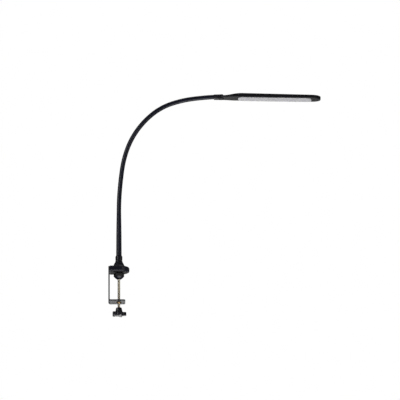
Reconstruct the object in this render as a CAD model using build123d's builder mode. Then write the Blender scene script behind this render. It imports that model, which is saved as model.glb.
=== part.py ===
"""Clamp-on desk lamp: edge clamp, round-nosed base, bendable neck and a flat LED head.

Millimetres, +Z up, +X from the clamp towards the head. The origin is on the
underside of the base, on the axis that the neck and the clamp screw share.
"""
import os
from math import cos, pi, radians, sin

from build123d import *

os.makedirs("parts", exist_ok=True)

# --- strap clamp -------------------------------------------------------------
strap_t = 3.0
strap_w = 41.6
strap_x = -23.4
leg_top = 12.2
jaw_top = -64.0
jaw_end = 14.2
jaw_corner_r = 6.0
bend_r = 4.6
rod_r = 3.0
rod_fit = 0.05

# --- base --------------------------------------------------------------------
base_r = 23.3
base_left = strap_x + strap_t
base_top = 12.8
seam_z = 6.9
wall = 2.2
pad_sheet_t = 1.2
pad_proud = 0.4
flare = [(17.0, 13.6), (12.6, 16.2), (10.6, 20.4), (8.9, 23.2), (7.9, 26.4)]
collar_r = 7.75
collar_z = (26.6, 39.4)
tab_t = 3.0
anchor_half = 12.2
screw_y = 8.0
screw_z = 7.0
jack_x = -4.0
jack_z = 6.2
jack_r = 3.9

# --- pressure pad, screw and knob ---------------------------------------------
pad_top = -2.1
pad_r = 11.65
rim_low = -8.6
cone_low = -14.7
ball_r = 3.6
ball_z = -10.2
hub_top = -79.0
lobe_top = -88.6
knob_low = -97.4
hub_r = 6.5
lobe_ring = 12.4
lobe_r = 4.1
lobes = 5

# --- neck ----------------------------------------------------------------------
joint_z = 41.0
link_len = 48.52
link_turn = [0, 0, 4.5, 3.5, 12, 15.5, 15, 20.5, 11.5, 4.5]
link_gap = 1.7
sleeve_r = 4.95
boot_r = [6.05, 5.75, 4.95]
core_r = 3.3
core_bore = 1.9
skin_gap = 0.05

# --- head ----------------------------------------------------------------------
fork_x0 = 211.0
hinge_x = 228.0
hinge_z = 398.7
fork_half_h = 4.7
fork_w = 20.0
slot_w = 10.4
tongue_w = 9.2
head_tilt = 0.9
head_len = 219.8
head_half = 22.0
rear_half = 17.5
rear_x = 5.9
lug_x = -2.5
notch_half = 10.5
tip_r = 20.0
under_z = -3.0
frame_top = -0.1
diffuser_x = (36.4, 199.3)
diffuser_half = 18.0
diffuser_r = 11.5
diffuser_proud = 1.5
shell_t = 1.5
button_x = 28.5
button_r = 4.6


def save(body, name):
    body.part.label = name
    export_step(body.part, "parts/" + name + ".step")


def d_outline(z, inset, left):
    """Half-round plan of the base, flat against the strap."""
    r = base_r - inset
    with BuildSketch(Plane.XY.offset(z), mode=Mode.PRIVATE) as plan:
        with BuildLine():
            Line((left, -r), (0, -r))
            ThreePointArc((0, -r), (r, 0), (0, r))
            Line((0, r), (left, r))
            Line((left, r), (left, -r))
        make_face()
    return plan.sketch


# =============================== clamp strap ===================================
with BuildPart() as clamp_bracket:
    with BuildSketch(Plane.XZ) as strap_side:
        with BuildLine():
            Polyline(
                (strap_x, leg_top),
                (strap_x, jaw_top - strap_t),
                (jaw_end, jaw_top - strap_t),
                (jaw_end, jaw_top),
                (base_left, jaw_top),
                (base_left, leg_top),
                (strap_x, leg_top),
            )
        make_face()
    extrude(amount=strap_w / 2, both=True)
    bend_lines = clamp_bracket.edges().filter_by(Axis.Y).group_by(Axis.Z)
    outer_bend = bend_lines[0].sort_by(Axis.X)[0]
    inner_bend = bend_lines[1].sort_by(Axis.X)[0]
    fillet(outer_bend, bend_r)
    fillet(inner_bend, bend_r - strap_t)
    jaw_corners = clamp_bracket.edges().filter_by(Axis.Z).group_by(Axis.X)[-1]
    fillet(jaw_corners, jaw_corner_r)
    leg_corners = clamp_bracket.edges().filter_by(Axis.X).group_by(Axis.Z)[-1]
    fillet(leg_corners, 4.0)
    with Locations((0, 0, jaw_top)):
        Hole(4.0, depth=strap_t)
    with Locations(Plane((strap_x, 0, screw_z), x_dir=(0, 1, 0), z_dir=(-1, 0, 0))):
        with Locations((screw_y, 0), (-screw_y, 0)):
            CounterSinkHole(1.65, 3.2, depth=strap_t)
save(clamp_bracket, "clamp_bracket")

with BuildPart() as threaded_bush:
    with BuildSketch(Plane.XZ):
        with BuildLine():
            Polyline(
                (rod_r + rod_fit, jaw_top + 2.2),
                (4.0, jaw_top + 2.2),
                (4.0, jaw_top - strap_t),
                (5.4, jaw_top - strap_t),
                (5.4, jaw_top - strap_t - 0.8),
                (3.9, jaw_top - strap_t - 2.6),
                (rod_r + rod_fit, jaw_top - strap_t - 2.6),
                (rod_r + rod_fit, jaw_top + 2.2),
            )
        make_face()
    revolve(axis=Axis.Z)
save(threaded_bush, "threaded_bush")

# =============================== base =========================================
tray_floor = 2.2
with BuildPart() as base_tray:
    extrude(d_outline(pad_proud, 0, base_left), amount=seam_z - pad_proud)
    nose_edge = base_tray.edges().filter_by(GeomType.CIRCLE).group_by(Axis.Z)[0]
    fillet(nose_edge + base_tray.edges().filter_by(Axis.X).group_by(Axis.Z)[0], 3.4)
    extrude(d_outline(tray_floor, wall, base_left), amount=seam_z, mode=Mode.SUBTRACT)
    extrude(d_outline(pad_proud, 4.2, base_left + 1.2), amount=pad_sheet_t - pad_proud, mode=Mode.SUBTRACT)
    with Locations(Plane((jack_x, base_r, jack_z), x_dir=(1, 0, 0), z_dir=(0, 1, 0))):
        Hole(jack_r + 0.1, depth=wall + 1)
    with Locations((13.0, 11.5, tray_floor), (13.0, -11.5, tray_floor)):
        Hole(1.3, depth=4)
save(base_tray, "base_tray")

with BuildPart() as desk_pad:
    extrude(d_outline(0, 4.3, base_left + 1.3), amount=pad_sheet_t - 0.02)
save(desk_pad, "desk_pad")

with BuildPart() as base_housing:
    extrude(d_outline(seam_z + 0.02, 0, base_left), amount=base_top - seam_z - 0.02)
    rim = base_housing.edges().filter_by(GeomType.CIRCLE).group_by(Axis.Z)[-1]
    fillet(rim + base_housing.edges().filter_by(Axis.X).group_by(Axis.Z)[-1], 4.0)
    with BuildSketch(Plane.XZ):
        with BuildLine():
            Line((0, base_top - 1), (18.4, base_top - 1))
            Line((18.4, base_top - 1), (18.4, base_top))
            Spline([(18.4, base_top)] + flare)
            Line(flare[-1], (0, flare[-1][1]))
            Line((0, flare[-1][1]), (0, base_top - 1))
        make_face()
    revolve(axis=Axis.Z)
    extrude(d_outline(seam_z, wall, base_left), amount=base_top - wall - seam_z, mode=Mode.SUBTRACT)
    with BuildSketch(Plane.XY):
        Circle(5.9)
    extrude(amount=30, mode=Mode.SUBTRACT)
    with Locations(Plane((jack_x, base_r, jack_z), x_dir=(1, 0, 0), z_dir=(0, 1, 0))):
        Hole(jack_r + 0.1, depth=wall + 1)
    with BuildSketch(Plane.XY.offset(seam_z)):
        with Locations((13.0, 11.5), (13.0, -11.5)):
            Circle(2.8)
    extrude(amount=base_top - wall - seam_z + 0.3)
    with BuildSketch(Plane.XY.offset(seam_z)):
        with Locations((13.0, 11.5), (13.0, -11.5)):
            Circle(1.22)
    extrude(amount=3.4, mode=Mode.SUBTRACT)
save(base_housing, "base_housing")

with BuildPart() as base_screws:
    for side in (-1, 1):
        with Locations((13.0, 11.5 * side, tray_floor)):
            Cylinder(1.2, 7.0, align=(Align.CENTER, Align.CENTER, Align.MIN))
            Cylinder(2.3, 1.2, align=(Align.CENTER, Align.CENTER, Align.MIN))
save(base_screws, "base_screws")

with BuildPart() as anchor_plate:
    with BuildSketch(Plane.XZ):
        with BuildLine():
            Polyline(
                (base_left + 0.02, 10.4),
                (base_left + 0.02, 2.6),
                (7.5, 2.6),
                (7.5, 5.2),
                (base_left + tab_t, 5.2),
                (base_left + tab_t, 10.4),
                (base_left + 0.02, 10.4),
            )
        make_face()
    extrude(amount=anchor_half, both=True)
    nose = anchor_plate.edges().filter_by(Axis.Z).group_by(Axis.X)[-1]
    fillet(nose, 7.0)
    with Locations((0, 0, 5.2)):
        Hole(5.02, depth=2.6)
    with Locations(Plane((base_left + tab_t, 0, screw_z), x_dir=(0, 1, 0), z_dir=(1, 0, 0))):
        with Locations((screw_y, 0), (-screw_y, 0)):
            Hole(1.45, depth=tab_t)
save(anchor_plate, "anchor_plate")

with BuildPart() as bracket_screws:
    with BuildSketch(Plane.XZ.offset(0)):
        with BuildLine():
            Polyline(
                (strap_x + 0.1, screw_z),
                (strap_x + 0.1, screw_z + 2.9),
                (strap_x + 1.55, screw_z + 1.4),
                (base_left + tab_t + 1.5, screw_z + 1.4),
                (base_left + tab_t + 1.5, screw_z),
                (strap_x + 0.1, screw_z),
            )
        make_face()
    revolve(axis=Axis((0, 0, screw_z), (1, 0, 0)))
    with BuildSketch(Plane((strap_x + 0.1, 0, screw_z), x_dir=(0, 1, 0), z_dir=(-1, 0, 0))):
        RegularPolygon(1.1, 6)
    extrude(amount=-1.1, mode=Mode.SUBTRACT)
    one_screw = bracket_screws.part
    with Locations((0, screw_y, 0)):
        add(one_screw, mode=Mode.REPLACE)
    with Locations((0, -screw_y, 0)):
        add(one_screw)
save(bracket_screws, "bracket_screws")

with BuildPart() as neck_ferrule:
    with BuildSketch(Plane.XZ):
        with BuildLine():
            Polyline(
                (core_bore + 0.3, 2.3),
                (5.0, 2.3),
                (5.0, 8.3),
                (5.7, 8.3),
                (5.7, joint_z - 3.2),
                (3.9, joint_z - link_gap / 2),
                (core_bore + 0.3, joint_z - link_gap / 2),
                (core_bore + 0.3, 2.3),
            )
        make_face()
    revolve(axis=Axis.Z)
save(neck_ferrule, "neck_ferrule")

with BuildPart() as ferrule_nut:
    with BuildSketch(Plane.XY.offset(5.25)):
        RegularPolygon(8.0, 6)
        Circle(5.03, mode=Mode.SUBTRACT)
    extrude(amount=3.0)
    chamfer(ferrule_nut.edges().filter_by(Axis.Z, reverse=True).group_by(Axis.Z)[-1]
            .filter_by(GeomType.LINE), 0.3)
save(ferrule_nut, "ferrule_nut")

with BuildPart() as neck_collar:
    with BuildSketch(Plane.XZ):
        with BuildLine():
            Polyline(
                (5.75, collar_z[0]),
                (7.4, collar_z[0]),
                (7.4, collar_z[0] + 1.2),
                (collar_r, collar_z[0] + 2.6),
                (collar_r, collar_z[1] - 2.6),
                (6.3, collar_z[1]),
                (5.75, collar_z[1]),
                (5.75, collar_z[0]),
            )
        make_face()
    revolve(axis=Axis.Z)
    shoulders = neck_collar.edges().filter_by(GeomType.CIRCLE).group_by(SortBy.RADIUS)[-1]
    fillet(shoulders, 1.8)
save(neck_collar, "neck_collar")

with BuildPart() as dc_jack:
    with BuildSketch(Plane((jack_x, base_r + 0.4, jack_z), x_dir=(1, 0, 0), z_dir=(0, 1, 0))):
        Circle(jack_r)
    extrude(amount=-11.0)
    with BuildSketch(Plane((jack_x, base_r + 0.4, jack_z), x_dir=(1, 0, 0), z_dir=(0, 1, 0))):
        Circle(2.85)
        Circle(1.0, mode=Mode.SUBTRACT)
    extrude(amount=-9.0, mode=Mode.SUBTRACT)
save(dc_jack, "dc_jack")

with BuildPart() as base_lead:
    with BuildLine():
        Polyline((jack_x, 12.68, 9.0), (jack_x, 9.4, 9.0))
    with BuildSketch(Plane((jack_x, 12.68, 9.0), z_dir=(0, -1, 0))):
        Circle(0.5)
    sweep()
save(base_lead, "base_lead")

# =============================== pad, screw, knob ===============================
with BuildPart() as pad_face:
    with BuildSketch(Plane.XY.offset(rim_low)):
        Circle(pad_r)
    extrude(amount=pad_top - rim_low)
    rim_edge = pad_face.edges().filter_by(GeomType.CIRCLE).sort_by(Axis.Z)[-1]
    fillet(rim_edge, 0.8)
    with BuildSketch(Plane.XY.offset(rim_low)):
        with PolarLocations(pad_r + 0.35, 36):
            Circle(0.75)
    extrude(amount=pad_top - rim_low - 1.4, mode=Mode.SUBTRACT)
    with BuildSketch(Plane.XY.offset(rim_low)):
        Circle(9.2)
    extrude(amount=3.5, mode=Mode.SUBTRACT)
    with BuildSketch(Plane.XY.offset(pad_top)):
        for ring in (3.2, 6.2, 9.0):
            Circle(ring + 0.5)
            Circle(ring - 0.5, mode=Mode.SUBTRACT)
    extrude(amount=-0.6, mode=Mode.SUBTRACT)
save(pad_face, "pad_face")

with BuildPart() as pad_cup:
    with BuildSketch(Plane.XZ):
        with BuildLine():
            Polyline(
                (0, rim_low + 3.45),
                (9.15, rim_low + 3.45),
                (9.15, rim_low - 0.02),
                (11.3, rim_low - 0.02),
                (8.0, -12.2),
                (4.6, cone_low),
                (0, cone_low),
                (0, rim_low + 3.45),
            )
        make_face()
    revolve(axis=Axis.Z)
    with Locations((0, 0, ball_z)):
        Sphere(ball_r + 0.06, mode=Mode.SUBTRACT)
    with BuildSketch(Plane.XY.offset(cone_low)):
        Circle(rod_r + 0.3)
    extrude(amount=ball_z - cone_low - 1.2, mode=Mode.SUBTRACT)
save(pad_cup, "pad_cup")

with BuildPart() as clamp_screw:
    with BuildSketch(Plane.XY.offset(ball_z - 1)):
        Circle(rod_r)
    extrude(amount=-(ball_z - 1 - (knob_low + 4)))
    with Locations((0, 0, ball_z)):
        Sphere(ball_r)
    tip = clamp_screw.edges().filter_by(GeomType.CIRCLE).sort_by(Axis.Z)[0]
    chamfer(tip, 0.6)
save(clamp_screw, "clamp_screw")

with BuildPart() as clamp_knob:
    with BuildSketch(Plane.XY.offset(knob_low)):
        Circle(11.0)
        with PolarLocations(lobe_ring, lobes):
            Circle(lobe_r)
        with PolarLocations(15.6, lobes, start_angle=180 / lobes):
            Circle(6.2, mode=Mode.SUBTRACT)
    extrude(amount=lobe_top - knob_low)
    fillet(clamp_knob.edges().filter_by(Axis.Z), 1.5)
    upper = clamp_knob.faces().sort_by(Axis.Z)[-1].edges()
    fillet(upper, 2.4)
    lower = clamp_knob.faces().sort_by(Axis.Z)[0].edges()
    fillet(lower, 1.6)
    with BuildSketch(Plane.XZ):
        with BuildLine():
            Line((0, knob_low + 1), (0, hub_top))
            Line((0, hub_top), (hub_r - 1.2, hub_top))
            Spline([(hub_r - 1.2, hub_top), (hub_r, hub_top - 1.4), (7.4, hub_top - 6.2), (9.0, lobe_top)],
                   tangents=[(1, 0), (0.9, -1)])
            Line((9.0, lobe_top), (9.0, knob_low + 1))
            Line((9.0, knob_low + 1), (0, knob_low + 1))
        make_face()
    revolve(axis=Axis.Z)
    with BuildSketch(Plane.XY.offset(knob_low)):
        Circle(rod_r + 0.02)
    extrude(amount=hub_top - knob_low, mode=Mode.SUBTRACT)
    with BuildSketch(Plane.XY.offset(knob_low + 2.4)):
        RegularPolygon(5.85, 6)
    extrude(amount=5.2, mode=Mode.SUBTRACT)
    with BuildSketch(Plane.XY.offset(knob_low)):
        Circle(6.4)
    extrude(amount=2.4, mode=Mode.SUBTRACT)
save(clamp_knob, "clamp_knob")

with BuildPart() as knob_nut:
    with BuildSketch(Plane.XY.offset(knob_low + 2.42)):
        RegularPolygon(5.8, 6)
        Circle(rod_r + 0.02, mode=Mode.SUBTRACT)
    extrude(amount=5.1)
save(knob_nut, "knob_nut")

with BuildPart() as knob_cap:
    with BuildSketch(Plane.XY.offset(knob_low + 0.2)):
        Circle(6.35)
    extrude(amount=1.2)
    cap_edge = knob_cap.edges().filter_by(GeomType.CIRCLE).sort_by(Axis.Z)[0]
    fillet(cap_edge, 0.5)
save(knob_cap, "knob_cap")


# =============================== neck ===========================================
def frame_at(link, along):
    """Point and heading (degrees above +X) a distance along a link's arc."""
    x, z, heading = 0.0, joint_z, 90.0
    for k in range(link):
        x, z, heading = step(x, z, heading, link_len, link_turn[k])
    return step(x, z, heading, along, link_turn[link] * along / link_len)


def step(x, z, heading, length, turn):
    """Moves a point along an arc that turns towards +X."""
    mid = radians(heading - turn / 2)
    half = radians(turn / 2)
    chord = length if half == 0 else length * sin(half) / half
    return x + chord * cos(mid), z + chord * sin(mid), heading - turn


def link_plane(x, z, heading):
    h = radians(heading)
    return Plane((x, 0, z), x_dir=(0, 1, 0), z_dir=(cos(h), 0, sin(h)))


def tube(link, outer, inner, inset):
    """A round tube that follows one link, open at both ends."""
    x, z, heading = frame_at(link, inset)
    run = link_len - 2 * inset
    turn = link_turn[link] * run / link_len
    with BuildSketch(link_plane(x, z, heading), mode=Mode.PRIVATE) as ring:
        Circle(outer)
        Circle(inner, mode=Mode.SUBTRACT)
    if turn == 0:
        extrude(ring.sketch, amount=run)
    else:
        bend = run / radians(turn)
        h = radians(heading)
        hub = (x + bend * sin(h), 0, z - bend * cos(h))
        revolve(ring.sketch, axis=Axis(hub, (0, 1, 0)), revolution_arc=turn)


for link in range(len(link_turn)):
    number = "%02d" % (link + 1)
    with BuildPart() as gooseneck_core:
        tube(link, core_r, core_bore, link_gap / 2)
    save(gooseneck_core, "gooseneck_core_" + number)

    if link < 2:
        low = joint_z + link * link_len + link_gap / 2
        high = joint_z + (link + 1) * link_len - link_gap / 2
        with BuildPart() as neck_sleeve:
            with BuildSketch(Plane.XZ):
                with BuildLine():
                    Polyline(
                        (core_r + skin_gap, low),
                        (boot_r[link] - 1.0, low),
                        (boot_r[link], low + 0.9),
                        (boot_r[link + 1], high - 0.9),
                        (boot_r[link + 1] - 1.0, high),
                        (core_r + skin_gap, high),
                        (core_r + skin_gap, low),
                    )
                make_face()
            revolve(axis=Axis.Z)
    else:
        with BuildPart() as neck_sleeve:
            tube(link, sleeve_r, core_r + skin_gap, link_gap / 2)
            ends = neck_sleeve.edges().filter_by(GeomType.CIRCLE)
            chamfer(ends.filter_by(lambda e: e.radius > sleeve_r - 0.01), 0.8)
    save(neck_sleeve, "neck_sleeve_" + number)

# =============================== hinge at the head ==============================
end_x, end_z, end_heading = frame_at(len(link_turn) - 1, link_len)
with BuildPart() as neck_fork:
    with BuildSketch(Plane.XZ):
        with BuildLine():
            Line((fork_x0, hinge_z - fork_half_h), (hinge_x, hinge_z - fork_half_h))
            RadiusArc((hinge_x, hinge_z - fork_half_h), (hinge_x, hinge_z + fork_half_h), -fork_half_h)
            Line((hinge_x, hinge_z + fork_half_h), (fork_x0, hinge_z + fork_half_h))
            Line((fork_x0, hinge_z + fork_half_h), (fork_x0, hinge_z - fork_half_h))
        make_face()
    extrude(amount=fork_w / 2, both=True)
    back = neck_fork.faces().sort_by(Axis.X)[0].edges()
    fillet(back, 1.2)
    with BuildSketch(Plane.XY.offset(hinge_z)):
        with Locations((hinge_x + 4, 0)):
            Rectangle(18.6, slot_w)
    extrude(amount=8, both=True, mode=Mode.SUBTRACT)
    with BuildSketch(Plane.XZ):
        with Locations((hinge_x, hinge_z)):
            Circle(1.62)
    extrude(amount=fork_w / 2, both=True, mode=Mode.SUBTRACT)
    with BuildSketch(Plane.XZ.offset(fork_w / 2)):
        with Locations((hinge_x, hinge_z)):
            Circle(3.1)
    extrude(amount=-2.4, mode=Mode.SUBTRACT)
    with BuildSketch(Plane.XZ.offset(-fork_w / 2)):
        with Locations((hinge_x, hinge_z)):
            RegularPolygon(3.2, 6)
    extrude(amount=2.6, mode=Mode.SUBTRACT)
    with BuildSketch(link_plane(end_x - 12, end_z - 12 * sin(radians(end_heading)), end_heading)):
        Circle(sleeve_r + 0.02)
    extrude(amount=12.4, mode=Mode.SUBTRACT)
save(neck_fork, "neck_fork")

with BuildPart() as hinge_screw:
    with BuildSketch(Plane.XZ.offset(fork_w / 2 - 0.5)):
        with Locations((hinge_x, hinge_z)):
            Circle(2.9)
    extrude(amount=-1.85)
    with BuildSketch(Plane.XZ.offset(fork_w / 2 - 1)):
        with Locations((hinge_x, hinge_z)):
            Circle(1.55)
    extrude(amount=-(fork_w - 1.6))
    with BuildSketch(Plane.XZ.offset(fork_w / 2 - 0.5)):
        with Locations((hinge_x, hinge_z)):
            RegularPolygon(1.2, 6)
    extrude(amount=-1.2, mode=Mode.SUBTRACT)
save(hinge_screw, "hinge_screw")

with BuildPart() as hinge_nut:
    with BuildSketch(Plane.XZ.offset(-fork_w / 2 + 0.3)):
        with Locations((hinge_x, hinge_z)):
            RegularPolygon(3.1, 6)
            Circle(1.57, mode=Mode.SUBTRACT)
    extrude(amount=2.25)
save(hinge_nut, "hinge_nut")

with BuildPart() as friction_washers:
    with BuildSketch(Plane.XZ):
        with Locations((hinge_x, hinge_z)):
            Circle(4.0)
            Circle(1.65, mode=Mode.SUBTRACT)
    extrude(amount=slot_w / 2 - 0.02, both=True)
    with BuildSketch(Plane.XZ):
        with Locations((hinge_x, hinge_z)):
            Circle(6.0)
    extrude(amount=tongue_w / 2 + 0.06, both=True, mode=Mode.SUBTRACT)
save(friction_washers, "friction_washers")

# =============================== head ===========================================
tilt = radians(head_tilt)
head_plane = Plane((hinge_x, 0, hinge_z), x_dir=(cos(tilt), 0, -sin(tilt)), z_dir=(sin(tilt), 0, cos(tilt)))
head_side = Plane((hinge_x, 0, hinge_z), x_dir=(cos(tilt), 0, -sin(tilt)), z_dir=(0, -1, 0))


def head_outline(z, inset, x0):
    """Plan of the head: broad already beside the hinge, rounder at the tip."""
    half = head_half - inset
    side = rear_half - inset
    x1 = head_len - inset
    r = tip_r - inset
    with BuildSketch(head_plane.offset(z), mode=Mode.PRIVATE) as plan:
        with BuildLine():
            Line((x0, 0), (x0, side - 3))
            TangentArc((x0, side - 3), (x0 + 3, side), tangent=(0, 1))
            Spline([(x0 + 3, side), (22, half - 0.7), (46, half)], tangents=[(1, 0), (1, 0)])
            Line((46, half), (x1 - r, half))
            TangentArc((x1 - r, half), (x1, half - r), tangent=(1, 0))
            Line((x1, half - r), (x1, 0))
            mirror(about=Plane.XZ)
        make_face()
    return plan.sketch


def under_roof(drop):
    """Side profile of everything below the sloping top of the head."""
    back = lug_x - 2
    with BuildSketch(head_side, mode=Mode.PRIVATE) as profile:
        with BuildLine():
            Line((back, -12), (back, 1.2 - drop))
            Line((back, 1.2 - drop), (5, 1.35 - drop))
            Spline([(5, 1.35 - drop), (46, 5.8 - drop)], tangents=[(1, 0.016), (1, -0.0096)])
            Line((46, 5.8 - drop), (head_len + 3, 4.1 - drop))
            Line((head_len + 3, 4.1 - drop), (head_len + 3, -12))
            Line((head_len + 3, -12), (back, -12))
        make_face()
    return profile.sketch


def hinge_notch():
    """Room for the neck's fork between the two lugs at the back of the head."""
    with BuildSketch(head_plane.offset(-12), mode=Mode.PRIVATE) as notch:
        with Locations(((lug_x - 4 + rear_x) / 2, 0)):
            Rectangle(rear_x - lug_x + 4, 2 * notch_half)
    return notch.sketch


def at_head(edge):
    return head_plane.to_local_coords(edge @ 0.5)


screw_spots = [(209.6, 9.0), (209.6, -9.0), (32.6, 15.0), (32.6, -15.0)]
tongue_spots = [(14.6, 4.8), (14.6, -4.8)]
floor_z = under_z + 1.2
roof_z = 8.0

with BuildPart() as head_cavity:
    extrude(head_outline(floor_z, shell_t, rear_x + shell_t), amount=14)
    extrude(under_roof(shell_t), amount=40, both=True, mode=Mode.INTERSECT)

with BuildPart() as head_cover:
    extrude(head_outline(frame_top + 0.02, 0, lug_x), amount=14)
    extrude(under_roof(0), amount=40, both=True, mode=Mode.INTERSECT)
    high_edges = head_cover.edges().filter_by(lambda e: at_head(e).Z > 3)
    fillet(high_edges.filter_by(lambda e: at_head(e).X > 50 or abs(at_head(e).Y) > 20), 1.2)
    extrude(hinge_notch(), amount=24, mode=Mode.SUBTRACT)
    add(head_cavity.part, mode=Mode.SUBTRACT)
    with BuildSketch(head_plane.offset(frame_top + 0.02)):
        with Locations(screw_spots):
            Circle(2.3)
    extrude(until=Until.NEXT)
    with BuildSketch(head_plane.offset(frame_top + 0.02)):
        with Locations(screw_spots):
            Circle(0.87)
    extrude(amount=2.4, mode=Mode.SUBTRACT)
    with BuildSketch(head_plane.offset(frame_top)):
        with Locations((button_x, 0)):
            Circle(button_r + 0.25)
    extrude(amount=roof_z, mode=Mode.SUBTRACT)
    with BuildSketch(head_plane.offset(frame_top)):
        with Locations((7.0, 0)):
            Rectangle(6, tongue_w + 0.6)
    extrude(amount=0.3, mode=Mode.SUBTRACT)
save(head_cover, "head_cover")

with BuildPart() as head_frame:
    extrude(head_outline(under_z, 0, lug_x), amount=frame_top - under_z)
    under_edges = head_frame.edges().filter_by(lambda e: at_head(e).Z < under_z + 0.01)
    fillet(under_edges, 1.2)
    extrude(head_outline(floor_z, shell_t, rear_x + shell_t), amount=4, mode=Mode.SUBTRACT)
    extrude(hinge_notch(), amount=24, mode=Mode.SUBTRACT)
    with BuildSketch(head_plane.offset(under_z)):
        with Locations((sum(diffuser_x) / 2, 0)):
            RectangleRounded(diffuser_x[1] - diffuser_x[0] + 0.3, 2 * diffuser_half + 0.3, diffuser_r + 0.15)
    extrude(amount=4, mode=Mode.SUBTRACT)
    with BuildSketch(head_plane.offset(floor_z)):
        with Locations((7.0, 0)):
            Rectangle(6, tongue_w + 0.6)
    extrude(amount=4, mode=Mode.SUBTRACT)
    with Locations(Plane(head_plane.from_local_coords((0, 0, under_z)), x_dir=head_plane.x_dir,
                         z_dir=-head_plane.z_dir)):
        with Locations([(x, -y) for x, y in screw_spots + tongue_spots]):
            CounterSinkHole(1.1, 2.1, depth=2)
save(head_frame, "head_frame")

span = diffuser_x[1] - diffuser_x[0]
centre = sum(diffuser_x) / 2
with BuildPart() as diffuser:
    with BuildSketch(head_plane.offset(under_z - diffuser_proud)):
        with Locations((centre, 0)):
            RectangleRounded(span, 2 * diffuser_half, diffuser_r)
    extrude(amount=diffuser_proud + 1.25)
    low_edges = diffuser.edges().filter_by(lambda e: at_head(e).Z < under_z - diffuser_proud + 0.01)
    fillet(low_edges, 0.7)
    with BuildSketch(head_plane.offset(floor_z + 0.02)):
        with Locations((centre, 0)):
            RectangleRounded(span + 2.4, 2 * diffuser_half + 2.4, diffuser_r + 1.2)
    extrude(amount=0.9)
    with BuildSketch(head_plane.offset(floor_z)):
        with Locations((centre, 0)):
            RectangleRounded(span - 3, 2 * diffuser_half - 3, diffuser_r - 1.5)
    extrude(amount=2.9)
    with BuildSketch(head_plane.offset(under_z - diffuser_proud + 1.8)):
        with Locations((centre, 0)):
            RectangleRounded(span - 6, 2 * diffuser_half - 6, diffuser_r - 3)
    extrude(amount=8, mode=Mode.SUBTRACT)
save(diffuser, "diffuser")

board_z = floor_z + 2.92
with BuildPart() as led_board:
    with BuildSketch(head_plane.offset(board_z)):
        with Locations((centre, 0)):
            RectangleRounded(span - 3, 2 * diffuser_half - 3, diffuser_r - 1.5)
    extrude(amount=1.0)
save(led_board, "led_board")

with BuildPart() as leds:
    with BuildSketch(head_plane.offset(board_z)):
        with Locations((centre, 0)):
            with GridLocations(10.4, 14.0, 14, 2):
                Rectangle(3.5, 2.8)
    extrude(amount=-0.7)
save(leds, "leds")

with BuildPart() as control_board:
    with BuildSketch(head_plane.offset(floor_z + 0.02)):
        with Locations((27.0, 0)):
            Rectangle(13, 22)
    extrude(amount=1.2)
save(control_board, "control_board")

with BuildPart() as tact_switch:
    with BuildSketch(head_plane.offset(floor_z + 1.22)):
        with Locations((button_x, 0)):
            RectangleRounded(6.2, 6.2, 0.6)
    extrude(amount=1.0)
save(tact_switch, "tact_switch")

with BuildPart() as power_button:
    with BuildSketch(head_plane.offset(1.2)):
        with Locations((button_x, 0)):
            Circle(button_r)
    extrude(amount=6)
    extrude(under_roof(-0.3), amount=10, both=True, mode=Mode.INTERSECT)
    with BuildSketch(head_plane.offset(1.2)):
        with Locations((button_x, 0)):
            Circle(button_r + 1.0)
    extrude(amount=0.5)
save(power_button, "power_button")

with BuildPart() as head_screws:
    for spot in screw_spots:
        with BuildSketch(head_plane.offset(under_z + 0.1)):
            with Locations(spot):
                Circle(1.95)
        extrude(amount=1.0, taper=44)
        with BuildSketch(head_plane.offset(under_z + 0.1)):
            with Locations(spot):
                Circle(0.85)
        extrude(amount=5.0)
save(head_screws, "head_screws")

with BuildPart() as tongue_screws:
    for spot in tongue_spots:
        with BuildSketch(head_plane.offset(under_z + 0.1)):
            with Locations(spot):
                Circle(1.95)
        extrude(amount=1.0, taper=44)
        with BuildSketch(head_plane.offset(under_z + 0.1)):
            with Locations(spot):
                Circle(0.98)
        extrude(amount=3.0)
save(tongue_screws, "tongue_screws")

with BuildPart() as hinge_tongue:
    with BuildSketch(head_side):
        Circle(fork_half_h - 0.2)
    extrude(amount=tongue_w / 2, both=True)
    with BuildSketch(head_plane.offset(floor_z + 0.03)):
        with BuildLine():
            Polyline(
                (0, tongue_w / 2),
                (8.4, tongue_w / 2),
                (9.6, 7.6),
                (19.4, 7.6),
                (19.4, -7.6),
                (9.6, -7.6),
                (8.4, -tongue_w / 2),
                (0, -tongue_w / 2),
                (0, tongue_w / 2),
            )
        make_face()
    extrude(amount=1.6)
    with BuildSketch(head_side):
        Circle(1.6)
    extrude(amount=tongue_w, both=True, mode=Mode.SUBTRACT)
    with BuildSketch(head_plane.offset(floor_z)):
        with Locations(tongue_spots):
            Circle(1.0)
    extrude(amount=3, mode=Mode.SUBTRACT)
save(hinge_tongue, "hinge_tongue")

with BuildPart() as board_leads:
    for lane in (-2.0, 2.0):
        with BuildSketch(head_plane.offset(floor_z + 1.24)):
            with Locations((31.2, lane / 2 + 8.8)):
                Circle(0.55)
        extrude(amount=2.8)
save(board_leads, "board_leads")
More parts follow.
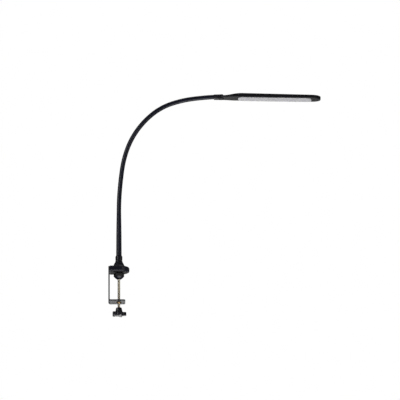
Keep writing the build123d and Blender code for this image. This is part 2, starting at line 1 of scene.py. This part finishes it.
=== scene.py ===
import bpy
import math
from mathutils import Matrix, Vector


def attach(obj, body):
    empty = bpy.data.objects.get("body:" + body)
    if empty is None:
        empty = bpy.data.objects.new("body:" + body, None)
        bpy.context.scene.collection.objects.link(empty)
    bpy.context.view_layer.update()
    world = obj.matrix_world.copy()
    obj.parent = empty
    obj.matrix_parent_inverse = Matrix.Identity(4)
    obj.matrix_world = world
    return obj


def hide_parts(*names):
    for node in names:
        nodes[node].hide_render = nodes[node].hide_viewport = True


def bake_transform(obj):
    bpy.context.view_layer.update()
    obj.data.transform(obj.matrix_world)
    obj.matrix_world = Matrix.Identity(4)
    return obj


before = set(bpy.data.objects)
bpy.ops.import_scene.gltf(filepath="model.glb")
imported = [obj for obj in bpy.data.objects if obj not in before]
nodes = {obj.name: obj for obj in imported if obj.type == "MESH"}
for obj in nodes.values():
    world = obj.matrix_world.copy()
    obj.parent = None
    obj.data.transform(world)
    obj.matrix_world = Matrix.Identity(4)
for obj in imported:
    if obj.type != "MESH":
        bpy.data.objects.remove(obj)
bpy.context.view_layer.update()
MM = 0.001

# the gooseneck, as it is laid out in the part: equal lengths, each one an arc
FOOT_Z = 41.0
LENGTH = 48.52
TURN = [0, 0, 4.5, 3.5, 12, 15.5, 15, 20.5, 11.5, 4.5]
SLEEVE_R = 4.98
FOOT_R = [6.08, 5.78, 4.98]
COLLAR_LAP = 2.6
MERGE = 0.000001


# ------------------------------------------------------------ shader groups ----
def new_group(name, inputs, outputs):
    group = bpy.data.node_groups.new(name, "ShaderNodeTree")
    for label, kind, value in inputs:
        socket = group.interface.new_socket(name=label, in_out="INPUT", socket_type=kind)
        if value is not None:
            socket.default_value = value
    for label, kind in outputs:
        group.interface.new_socket(name=label, in_out="OUTPUT", socket_type=kind)
    entry = group.nodes.new("NodeGroupInput")
    leave = group.nodes.new("NodeGroupOutput")
    return group, entry, leave


def math_node(tree, operation, a, b=None, clamp=False):
    node = tree.nodes.new("ShaderNodeMath")
    node.operation = operation
    node.use_clamp = clamp
    for slot, value in enumerate((a, b)):
        if value is None:
            continue
        if isinstance(value, (int, float)):
            node.inputs[slot].default_value = value
        else:
            tree.links.new(value, node.inputs[slot])
    return node.outputs[0]


def noise_node(tree, vector, scale, detail=3.0, rough=0.55):
    node = tree.nodes.new("ShaderNodeTexNoise")
    node.inputs["Detail"].default_value = detail
    node.inputs["Roughness"].default_value = rough
    tree.links.new(vector, node.inputs["Vector"])
    if isinstance(scale, (int, float)):
        node.inputs["Scale"].default_value = scale
    else:
        tree.links.new(scale, node.inputs["Scale"])
    return node.outputs["Fac"]


def mould_grain_group():
    """Spark-eroded mould texture: fine pits, and the uneven sheen they give."""
    group, entry, leave = new_group(
        "mould grain",
        [("Vector", "NodeSocketVector", None), ("Grain", "NodeSocketFloat", 2600.0),
         ("Base Roughness", "NodeSocketFloat", 0.45), ("Spread", "NodeSocketFloat", 0.1)],
        [("Height", "NodeSocketFloat"), ("Roughness", "NodeSocketFloat"), ("Mottle", "NodeSocketFloat")])
    fine = noise_node(group, entry.outputs["Vector"], entry.outputs["Grain"], 2.0, 0.6)
    coarse_scale = math_node(group, "MULTIPLY", entry.outputs["Grain"], 0.31)
    coarse = noise_node(group, entry.outputs["Vector"], coarse_scale, 1.0, 0.5)
    both = math_node(group, "ADD", fine, math_node(group, "MULTIPLY", coarse, 0.6))
    group.links.new(both, leave.inputs["Height"])
    flow = noise_node(group, entry.outputs["Vector"], 38.0, 4.0, 0.6)
    centred = math_node(group, "SUBTRACT", flow, 0.5)
    spread = math_node(group, "MULTIPLY", centred, entry.outputs["Spread"])
    rough = math_node(group, "ADD", spread, entry.outputs["Base Roughness"], True)
    group.links.new(rough, leave.inputs["Roughness"])
    group.links.new(flow, leave.inputs["Mottle"])
    return group


def rubbed_group():
    """Places that hands and fitting rub brighter, as a mask that follows soft blotches."""
    group, entry, leave = new_group(
        "rubbed places",
        [("Vector", "NodeSocketVector", None), ("Amount", "NodeSocketFloat", 0.3)],
        [("Mask", "NodeSocketFloat")])
    large = noise_node(group, entry.outputs["Vector"], 55.0, 5.0, 0.65)
    ramp = group.nodes.new("ShaderNodeValToRGB")
    ramp.color_ramp.elements[0].position = 0.48
    ramp.color_ramp.elements[1].position = 0.72
    group.links.new(large, ramp.inputs["Fac"])
    streak = noise_node(group, entry.outputs["Vector"], 420.0, 2.0, 0.5)
    mixed = math_node(group, "MULTIPLY", ramp.outputs["Color"], streak)
    group.links.new(math_node(group, "MULTIPLY", mixed, entry.outputs["Amount"], True), leave.inputs["Mask"])
    return group


MOULD_GRAIN = mould_grain_group()
RUBBED = rubbed_group()


def start_material(name):
    material = bpy.data.materials.new(name)
    material.use_nodes = True
    tree = material.node_tree
    surface = tree.nodes["Principled BSDF"]
    place = tree.nodes.new("ShaderNodeTexCoord")
    return material, tree, surface, place.outputs["Object"]


def colour_between(tree, mask, low, high):
    ramp = tree.nodes.new("ShaderNodeValToRGB")
    ramp.color_ramp.elements[0].position = 0.3
    ramp.color_ramp.elements[1].position = 0.72
    ramp.color_ramp.elements[0].color = (*low, 1)
    ramp.color_ramp.elements[1].color = (*high, 1)
    tree.links.new(mask, ramp.inputs["Fac"])
    return ramp.outputs["Color"]


def bump_into(tree, surface, height, distance):
    bump = tree.nodes.new("ShaderNodeBump")
    bump.inputs["Strength"].default_value = 1.0
    bump.inputs["Distance"].default_value = distance
    tree.links.new(height, bump.inputs["Height"])
    tree.links.new(bump.outputs["Normal"], surface.inputs["Normal"])


def moulded(name, low, high, rough, spread=0.12, grain=2600.0, depth=0.00002, rub=0.25, specular=0.5):
    """Moulded plastic or rubber: grain from the mould, uneven sheen, places rubbed smoother."""
    material, tree, surface, place = start_material(name)
    grain_node = tree.nodes.new("ShaderNodeGroup")
    grain_node.node_tree = MOULD_GRAIN
    grain_node.inputs["Grain"].default_value = grain
    grain_node.inputs["Base Roughness"].default_value = rough
    grain_node.inputs["Spread"].default_value = spread
    tree.links.new(place, grain_node.inputs["Vector"])
    rub_node = tree.nodes.new("ShaderNodeGroup")
    rub_node.node_tree = RUBBED
    rub_node.inputs["Amount"].default_value = rub
    tree.links.new(place, rub_node.inputs["Vector"])
    tone = math_node(tree, "ADD", grain_node.outputs["Mottle"], rub_node.outputs["Mask"], True)
    tree.links.new(colour_between(tree, tone, low, high), surface.inputs["Base Color"])
    smoother = math_node(tree, "MULTIPLY", rub_node.outputs["Mask"], 0.3)
    tree.links.new(math_node(tree, "SUBTRACT", grain_node.outputs["Roughness"], smoother, True),
                   surface.inputs["Roughness"])
    surface.inputs["Specular IOR Level"].default_value = specular
    bump_into(tree, surface, grain_node.outputs["Height"], depth)
    return material


LINE_STRETCH = 0.04


def metal(name, low, high, rough, line_scale, axis="Z", depth=0.00001, metallic=1.0):
    """Turned, drawn or plated metal: fine lines round or along the piece and a mottled plating."""
    material, tree, surface, place = start_material(name)
    stretch = tree.nodes.new("ShaderNodeMapping")
    stretch.inputs["Scale"].default_value = [1 if side == axis else LINE_STRETCH for side in "XYZ"]
    tree.links.new(place, stretch.inputs["Vector"])
    lines = noise_node(tree, stretch.outputs["Vector"], line_scale, 3.0, 0.7)
    mottle = noise_node(tree, place, 160.0, 4.0, 0.6)
    half_lines = math_node(tree, "MULTIPLY", lines, 0.5)
    half_mottle = math_node(tree, "MULTIPLY", mottle, 0.5)
    tone = math_node(tree, "ADD", half_lines, half_mottle)
    tree.links.new(colour_between(tree, tone, low, high), surface.inputs["Base Color"])
    rough_part = math_node(tree, "MULTIPLY", tone, 0.3)
    tree.links.new(math_node(tree, "ADD", rough_part, rough - 0.15, True), surface.inputs["Roughness"])
    surface.inputs["Metallic"].default_value = metallic
    bump_into(tree, surface, lines, depth)
    return material


BASE_BLACK = moulded("base plastic", (0.002, 0.0024, 0.007), (0.0045, 0.005, 0.013), 0.34,
                     grain=2300.0, depth=0.000004, specular=0.3)
HEAD_BLACK = moulded("head plastic", (0.0016, 0.0016, 0.0036), (0.003, 0.003, 0.006), 0.44,
                     grain=3000.0, depth=0.0000015, specular=0.28)
KNUCKLE_BLACK = moulded("knuckle plastic", (0.006, 0.0052, 0.009), (0.011, 0.0095, 0.015), 0.36,
                        grain=2600.0, depth=0.000003, specular=0.35)
KNOB_BLACK = moulded("knob plastic", (0.002, 0.0024, 0.006), (0.0055, 0.006, 0.012), 0.26,
                     grain=1900.0, depth=0.000003, rub=0.5, specular=0.4)
NECK_SKIN = moulded("neck sleeve", (0.002, 0.0028, 0.009), (0.0045, 0.006, 0.016), 0.32, spread=0.08,
                    grain=3400.0, depth=0.000004, rub=0.35, specular=0.3)
PAD_RUBBER = moulded("pad rubber", (0.003, 0.003, 0.0035), (0.007, 0.007, 0.008), 0.55, grain=1700.0,
                     depth=0.00003)
STRAP_COAT = moulded("strap powder coat", (0.02, 0.0205, 0.023), (0.034, 0.035, 0.039), 0.34,
                     grain=1400.0, depth=0.000003, rub=0.4)
ROD_STEEL = metal("rod plating", (0.66, 0.62, 0.52), (0.78, 0.74, 0.64), 0.46, 5200.0, depth=0.000001,
                  metallic=0.85)
SCREW_STEEL = metal("screw steel", (0.3, 0.3, 0.3), (0.5, 0.5, 0.49), 0.34, 3800.0)
PLATE_STEEL = metal("plate steel", (0.34, 0.34, 0.35), (0.52, 0.52, 0.53), 0.42, 1500.0, "X")
BUSH_BRASS = metal("bush brass", (0.1, 0.065, 0.03), (0.24, 0.16, 0.08), 0.34, 4200.0, depth=0.000003)
COIL_STEEL = metal("coil steel", (0.28, 0.28, 0.29), (0.5, 0.5, 0.5), 0.36, 2400.0)
BLACK_SCREW = metal("blackened screw", (0.02, 0.02, 0.021), (0.05, 0.05, 0.052), 0.38, 3600.0,
                    metallic=0.7)
BOARD_WHITE = moulded("white board lacquer", (0.62, 0.63, 0.64), (0.74, 0.74, 0.74), 0.4, rub=0.1)
BOARD_GREEN = moulded("green board lacquer", (0.015, 0.09, 0.035), (0.03, 0.15, 0.06), 0.3, rub=0.1)
LED_YELLOW = moulded("led phosphor", (0.7, 0.55, 0.12), (0.85, 0.72, 0.25), 0.45, rub=0.1)
LEAD_RED = moulded("lead insulation", (0.35, 0.02, 0.02), (0.5, 0.04, 0.03), 0.4, rub=0.1)


def frosted():
    """Frosted light panel: matt milk-white plastic, slightly cloudy, with a fine etched stipple."""
    material, tree, surface, place = start_material("frosted panel")
    stipple = noise_node(tree, place, 5200.0, 2.0, 0.6)
    cloud = noise_node(tree, place, 26.0, 3.0, 0.5)
    tree.links.new(colour_between(tree, cloud, (0.52, 0.52, 0.55), (0.6, 0.6, 0.63)),
                   surface.inputs["Base Color"])
    rough = math_node(tree, "ADD", math_node(tree, "MULTIPLY", stipple, 0.16), 0.36)
    tree.links.new(rough, surface.inputs["Roughness"])
    surface.inputs["Subsurface Weight"].default_value = 0.25
    surface.inputs["Subsurface Radius"].default_value = (0.004, 0.004, 0.0045)
    surface.inputs["Subsurface Scale"].default_value = 1.0
    bump_into(tree, surface, stipple, 0.000002)
    return material


PANEL = frosted()

FINISH = {
    "clamp_bracket": STRAP_COAT, "anchor_plate": PLATE_STEEL, "bracket_screws": BLACK_SCREW,
    "base_screws": SCREW_STEEL, "hinge_screw": BLACK_SCREW, "hinge_nut": BLACK_SCREW,
    "ferrule_nut": SCREW_STEEL, "knob_nut": SCREW_STEEL, "neck_ferrule": SCREW_STEEL,
    "friction_washers": SCREW_STEEL, "head_screws": BLACK_SCREW, "tongue_screws": BLACK_SCREW,
    "clamp_screw": ROD_STEEL, "threaded_bush": BUSH_BRASS, "base_tray": BASE_BLACK,
    "base_housing": BASE_BLACK, "neck_collar": BASE_BLACK, "neck_fork": KNUCKLE_BLACK,
    "head_cover": HEAD_BLACK, "head_frame": HEAD_BLACK, "power_button": KNUCKLE_BLACK,
    "clamp_knob": KNOB_BLACK, "knob_cap": KNOB_BLACK, "pad_cup": BASE_BLACK, "dc_jack": BASE_BLACK,
    "tact_switch": BASE_BLACK, "hinge_tongue": KNUCKLE_BLACK, "desk_pad": PAD_RUBBER, "pad_face": PAD_RUBBER,
    "diffuser": PANEL, "led_board": BOARD_WHITE, "leds": LED_YELLOW, "control_board": BOARD_GREEN,
    "base_lead": LEAD_RED, "board_leads": LEAD_RED,
}
for name, node in nodes.items():
    coat = FINISH.get(name)
    if coat is None:
        coat = COIL_STEEL if name.startswith("gooseneck_core") else NECK_SKIN
    for slot in node.material_slots:
        slot.material = coat


# ------------------------------------------------------------ modelling helpers ----
def nothing_selected():
    if bpy.context.object and bpy.context.object.mode != "OBJECT":
        bpy.ops.object.mode_set(mode="OBJECT")
    bpy.ops.object.select_all(action="DESELECT")


def edit(piece):
    nothing_selected()
    bpy.context.view_layer.objects.active = piece
    piece.select_set(True)
    bpy.ops.object.mode_set(mode="EDIT")
    bpy.ops.mesh.select_mode(type="VERT")


def settle(piece, coat, smooth=35.0):
    """Leaves the piece at the origin with its place in its mesh, shaded smooth up to an angle."""
    nothing_selected()
    bpy.context.view_layer.objects.active = piece
    piece.select_set(True)
    bpy.ops.object.transform_apply(location=True, rotation=True, scale=True)
    bpy.ops.object.shade_smooth_by_angle(angle=math.radians(smooth))
    piece.data.materials.clear()
    piece.data.materials.append(coat)
    piece.select_set(False)


# ------------------------------------------------------------ neck ----
def along_neck(link, share):
    """Point on the centre line in millimetres and heading in radians, a share of the way along a length."""
    x, z, heading = 0.0, FOOT_Z, 90.0
    for k in range(link + 1):
        part = 1.0 if k < link else share
        turn = TURN[k] * part
        run = LENGTH * part
        half = math.radians(turn / 2)
        chord = run * (math.sin(half) / half if half else 1.0)
        middle = math.radians(heading) - half
        x += chord * math.cos(middle)
        z += chord * math.sin(middle)
        heading -= turn
    return x, z, math.radians(heading)


def follow(link, start, stop, steps, r_from, r_to):
    """Carries the ring along part of a length: spun where it bends, extruded and drawn in where it tapers."""
    x, z, heading = along_neck(link, start)
    share = stop - start
    turn = math.radians(TURN[link] * share)
    if turn:
        bend = LENGTH / math.radians(TURN[link])
        hub = (x + bend * math.sin(heading), 0, z - bend * math.cos(heading))
        bpy.ops.mesh.spin(steps=steps, angle=turn, center=Vector(hub) * MM, axis=(0, -1, 0))
        return
    for k in range(steps):
        before = r_from + (r_to - r_from) * k / steps
        after = r_from + (r_to - r_from) * (k + 1) / steps
        rise = LENGTH * share / steps * MM
        bpy.ops.mesh.extrude_region_move(TRANSFORM_OT_translate={"value": (0, 0, rise)})
        bpy.ops.transform.resize(value=(after / before, after / before, 1), center_override=(
            0, 0, (FOOT_Z + LENGTH * (link + start + share * (k + 1) / steps)) * MM))


def ring_at(link, share, radius, sides=48):
    x, z, heading = along_neck(link, share)
    nothing_selected()
    bpy.ops.mesh.primitive_circle_add(
        vertices=sides, radius=radius * MM, fill_type="NOTHING", location=(x * MM, 0, z * MM),
        rotation=(0, math.pi / 2 - heading, 0))
    piece = bpy.context.object
    bpy.ops.object.transform_apply(location=True, rotation=True, scale=True)
    edit(piece)
    bpy.ops.mesh.select_all(action="SELECT")
    return piece


def radius_at(link, share):
    if link >= 2:
        return SLEEVE_R
    low, high = FOOT_R[link], FOOT_R[link + 1]
    return low + (high - low) * share


def point_on(link, share):
    x, z, heading = along_neck(link, share)
    return (x * MM, 0, z * MM)


def finish_skin(piece, number):
    """Merges and smooths one length of skin."""
    bpy.ops.mesh.select_all(action="SELECT")
    bpy.ops.mesh.remove_doubles(threshold=MERGE)
    bpy.ops.mesh.normals_make_consistent(inside=False)
    settle(piece, NECK_SKIN, 60)
    piece.name = "neck_skin_%02d" % number


for link in range(10):
    if link == 0:
        skin = ring_at(0, 0, FOOT_R[0])
        bpy.ops.transform.translate(value=(0, 0, -COLLAR_LAP * MM))
        bpy.ops.mesh.extrude_region_move(TRANSFORM_OT_translate={"value": (0, 0, COLLAR_LAP * MM)})
        follow(0, 0, 0.5, 8, radius_at(0, 0), radius_at(0, 0.5))
    else:
        skin = ring_at(link - 1, 0.5, radius_at(link - 1, 0.5))
        follow(link - 1, 0.5, 1, 10, radius_at(link - 1, 0.5), radius_at(link - 1, 1))
        follow(link, 0, 0.5, 10, radius_at(link, 0), radius_at(link, 0.5))
    finish_skin(skin, link + 1)
    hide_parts("neck_sleeve_%02d" % (link + 1))
    if link == 0:
        point_on(0, -0.05)
        point_on(0, 0.5)
        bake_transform(skin)
    else:
        point_on(link - 1, 0.5)
        point_on(link, 0.5)
        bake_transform(skin)

skin = ring_at(9, 0.5, SLEEVE_R)
follow(9, 0.5, 1, 10, SLEEVE_R, SLEEVE_R)
finish_skin(skin, 11)
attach(skin, "neck_10")

# ------------------------------------------------------------ threaded rod ----
THREAD_ROOT = 2.52
THREAD_DEPTH = 0.46
THREAD_PITCH = 1.0
ROD_LOW = -93.4
ROD_HIGH = -11.4
BALL_Z = -10.2
BALL_R = 3.58


def threaded_rod():
    """The clamp screw: one tooth's outline wound up the rod, both ends cut square, a ball on top."""
    nothing_selected()
    bpy.ops.mesh.primitive_plane_add(size=0.001, location=(0, 0, 0))
    rod = bpy.context.object
    edit(rod)
    bpy.ops.mesh.select_all(action="SELECT")
    bpy.ops.mesh.merge(type="CENTER")
    bpy.ops.transform.translate(value=(THREAD_ROOT * MM, 0, (ROD_LOW - 1.5) * MM))
    for out, up in ((THREAD_DEPTH, 0.36), (0.0, 0.16), (-THREAD_DEPTH, 0.36), (0.0, 0.12)):
        bpy.ops.mesh.extrude_region_move(TRANSFORM_OT_translate={"value": (out * MM, 0, up * MM)})
    nothing_selected()
    bpy.context.view_layer.objects.active = rod
    rod.select_set(True)
    wind = rod.modifiers.new("wind", "SCREW")
    wind.angle = 2 * math.pi
    wind.screw_offset = THREAD_PITCH * MM
    wind.iterations = int(ROD_HIGH - ROD_LOW) + 3
    wind.steps = 28
    wind.render_steps = 28
    wind.use_merge_vertices = True
    bpy.ops.object.modifier_apply(modifier="wind")
    edit(rod)
    bpy.ops.mesh.select_all(action="SELECT")
    bpy.ops.mesh.remove_doubles(threshold=0.000002)
    bpy.ops.mesh.bisect(plane_co=(0, 0, ROD_HIGH * MM), plane_no=(0, 0, 1), use_fill=True, clear_outer=True)
    bpy.ops.mesh.select_all(action="SELECT")
    bpy.ops.mesh.bisect(plane_co=(0, 0, ROD_LOW * MM), plane_no=(0, 0, -1), use_fill=True, clear_outer=True)
    bpy.ops.mesh.select_all(action="DESELECT")
    bpy.ops.mesh.primitive_uv_sphere_add(
        segments=40, ring_count=24, radius=BALL_R * MM, location=(0, 0, BALL_Z * MM))
    bpy.ops.mesh.select_all(action="SELECT")
    bpy.ops.mesh.normals_make_consistent(inside=False)
    settle(rod, ROD_STEEL, 28)
    rod.name = "threaded_rod"
    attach(rod, "screw")
    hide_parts("clamp_screw")


# ------------------------------------------------------------ knuckle ----
HINGE_X = 228.0
HINGE_Z = 398.7
FORK_BACK = 211.0
FORK_HALF_H = 4.7
FORK_HALF_W = 10
SLOT_FLOOR = 5.3
SLOT_HALF_W = 5.2
PIN_R = 1.62
HEAD_SEAT_R = 3.1
NUT_SEAT_R = 3.25


def carve(piece, tool):
    """Takes one shape out of another for good."""
    nothing_selected()
    bpy.context.view_layer.objects.active = piece
    piece.select_set(True)
    cut = piece.modifiers.new("carve", "BOOLEAN")
    cut.operation = "DIFFERENCE"
    cut.object = tool
    cut.solver = "EXACT"
    bpy.ops.object.modifier_apply(modifier="carve")
    bpy.data.objects.remove(tool, do_unlink=True)


def bored(x, z, y_from, y_to, radius, sides=40):
    """A round cutter along Y."""
    nothing_selected()
    bpy.ops.mesh.primitive_cylinder_add(
        vertices=sides, radius=radius * MM, depth=(y_to - y_from) * MM,
        location=(x * MM, (y_from + y_to) / 2 * MM, z * MM), rotation=(math.pi / 2, 0, 0))
    bpy.ops.object.transform_apply(location=True, rotation=True, scale=True)
    return bpy.context.object


def block(low, high):
    """A squared blank between two corners, to be cut to shape."""
    nothing_selected()
    middle_mm = [(a + b) / 2 for a, b in zip(low, high)]
    bpy.ops.mesh.primitive_cube_add(size=1, location=[v * MM for v in middle_mm])
    blank = bpy.context.object
    blank.scale = [(b - a) * MM for a, b in zip(low, high)]
    bpy.ops.object.transform_apply(location=True, rotation=True, scale=True)
    return blank


def round_edges(piece, wanted, radius, segments=6):
    """Rounds the edges whose middle and direction pass the test, in millimetres."""
    edit(piece)
    bpy.ops.mesh.select_all(action="DESELECT")
    bpy.ops.mesh.select_mode(type="EDGE")
    bpy.ops.object.mode_set(mode="OBJECT")
    points = piece.data.vertices
    for edge in piece.data.edges:
        a, b = points[edge.vertices[0]].co / MM, points[edge.vertices[1]].co / MM
        edge.select = bool(wanted((a + b) / 2, b - a))
    bpy.ops.object.mode_set(mode="EDIT")
    bpy.ops.mesh.bevel(offset=radius * MM, segments=segments, profile=0.5, affect="EDGES")
    nothing_selected()


def fork_shape():
    """The knuckle at the neck's end: soft shoulders, rounded cheeks, a slot, and seats for the pin."""
    x0, x1 = FORK_BACK, HINGE_X + FORK_HALF_H
    z0, z1 = HINGE_Z - FORK_HALF_H, HINGE_Z + FORK_HALF_H
    fork = block((x0, -FORK_HALF_W, z0), (x1, FORK_HALF_W, z1))
    round_edges(fork, lambda m, d: abs(d.y) > 1 and m.x > x1 - 0.1, 4.3, 10)
    round_edges(fork, lambda m, d: abs(d.x) > 8 and m.z > z1 - 0.1 and abs(m.y) > 9, 3.4, 8)
    round_edges(fork, lambda m, d: abs(d.x) > 8 and m.z < z0 + 0.1 and abs(m.y) > 9, 1.4, 5)
    carve(fork, block((HINGE_X - SLOT_FLOOR, -SLOT_HALF_W, z0 - 2), (x1 + 2, SLOT_HALF_W, z1 + 2)))
    carve(fork, bored(HINGE_X, HINGE_Z, -12, 12, PIN_R))
    carve(fork, bored(HINGE_X, HINGE_Z, -12, -7.6, HEAD_SEAT_R))
    carve(fork, bored(HINGE_X, HINGE_Z, 7.4, 12, NUT_SEAT_R))
    nothing_selected()
    bpy.context.view_layer.objects.active = fork
    fork.select_set(True)
    soften = fork.modifiers.new("soften", "BEVEL")
    soften.width = 0.35 * MM
    soften.segments = 2
    soften.limit_method = "ANGLE"
    soften.angle_limit = math.radians(50)
    bpy.ops.object.modifier_apply(modifier="soften")
    edit(fork)
    bpy.ops.mesh.select_all(action="SELECT")
    bpy.ops.mesh.normals_make_consistent(inside=False)
    settle(fork, KNUCKLE_BLACK, 30)
    fork.name = "fork_shape"
    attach(fork, "neck_10")
    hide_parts("neck_fork")


fork_shape()
threaded_rod()

# ------------------------------------------------------------ floor, light, camera ----
FLOOR_Z = -1.9
FLOOR_GLOW = 0.8
ROOM_LIGHT = 0.16

nothing_selected()
bpy.ops.mesh.primitive_plane_add(size=60, location=(0, 0, FLOOR_Z))
floor = bpy.context.object
floor.name = "studio_floor"
floor_paint, tree, surface, place = start_material("studio floor")
surface.inputs["Roughness"].default_value = 0.8
tree.links.new(colour_between(tree, noise_node(tree, place, 0.6), (0.82, 0.82, 0.82), (0.86, 0.86, 0.86)),
               surface.inputs["Base Color"])
glow = tree.nodes.new("ShaderNodeEmission")
glow.inputs["Color"].default_value = (0.86, 0.865, 0.875, 1)
glow.inputs["Strength"].default_value = 1.0
floor_rays = tree.nodes.new("ShaderNodeLightPath")
floor_mix = tree.nodes.new("ShaderNodeMixShader")
glow_share = math_node(tree, "MULTIPLY", floor_rays.outputs["Is Camera Ray"], FLOOR_GLOW)
tree.links.new(glow_share, floor_mix.inputs["Fac"])
tree.links.new(surface.outputs["BSDF"], floor_mix.inputs[1])
tree.links.new(glow.outputs["Emission"], floor_mix.inputs[2])
tree.links.new(floor_mix.outputs["Shader"], tree.nodes["Material Output"].inputs["Surface"])
floor.data.materials.append(floor_paint)

bpy.context.scene.view_settings.view_transform = "Standard"
world = bpy.data.worlds.new("studio")
bpy.context.scene.world = world
world.use_nodes = True
air = world.node_tree
air.nodes["Background"].inputs["Color"].default_value = (1, 1, 1, 1)
air.nodes["Background"].inputs["Strength"].default_value = ROOM_LIGHT
seen = air.nodes.new("ShaderNodeBackground")
seen.inputs["Color"].default_value = (1, 1, 1, 1)
seen.inputs["Strength"].default_value = 1.0
rays = air.nodes.new("ShaderNodeLightPath")
pick = air.nodes.new("ShaderNodeMixShader")
air.links.new(rays.outputs["Is Camera Ray"], pick.inputs["Fac"])
air.links.new(air.nodes["Background"].outputs["Background"], pick.inputs[1])
air.links.new(seen.outputs["Background"], pick.inputs[2])
air.links.new(pick.outputs["Shader"], air.nodes["World Output"].inputs["Surface"])


def soft_light(name, spot, aim, size, power, tint=(1, 1, 1)):
    lamp = bpy.data.lights.new(name, "AREA")
    lamp.shape = "RECTANGLE"
    lamp.size, lamp.size_y = size
    lamp.energy = power
    lamp.color = tint
    holder = bpy.data.objects.new(name, lamp)
    bpy.context.scene.collection.objects.link(holder)
    holder.location = spot
    holder.visible_camera = False
    holder.rotation_euler = (Vector(aim) - Vector(spot)).to_track_quat("-Z", "Y").to_euler()


middle = Vector((0.2, 0, 0.2))
soft_light("key", (-1.7, -1.7, 1.1), middle, (0.5, 1.7), 24)
soft_light("fill", (2.4, -1.6, 0.4), middle, (0.3, 1.4), 1.5)
soft_light("top", (0.3, 0.5, 2.4), middle, (1.6, 1.2), 8)
soft_light("under", (0.25, -0.7, -1.75), middle, (2.2, 1.2), 46)
soft_light("behind and below", (0.0, 2.8, -0.69), (0, 0, -0.08), (0.9, 0.2), 1.5)
soft_light("rod glow", (1.3, -1.2, -0.2), (0, 0, -0.05), (0.5, 0.9), 5, (1.0, 0.93, 0.8))

# seen from the lamp's side and from a little below; SEEN_MM is the width in view
SEEN_MM = 888.0
FROM = 3.0
RISE = math.radians(-11.8)
aim_x = 180.04 * MM
aim_up = 161.95 * MM
across = Vector((1, 0, 0))
back = Vector((0, -math.cos(RISE), math.sin(RISE)))
upward = Vector((0, math.sin(RISE), math.cos(RISE)))
lens = bpy.data.cameras.new("camera")
lens.type = "ORTHO"
lens.ortho_scale = SEEN_MM * MM
lens.clip_end = 60
eye = bpy.data.objects.new("camera", lens)
bpy.context.scene.collection.objects.link(eye)
eye.location = across * aim_x + upward * aim_up + back * FROM
eye.rotation_mode = "QUATERNION"
eye.rotation_quaternion = (-back).to_track_quat("-Z", "Y")
bpy.context.scene.camera = eye
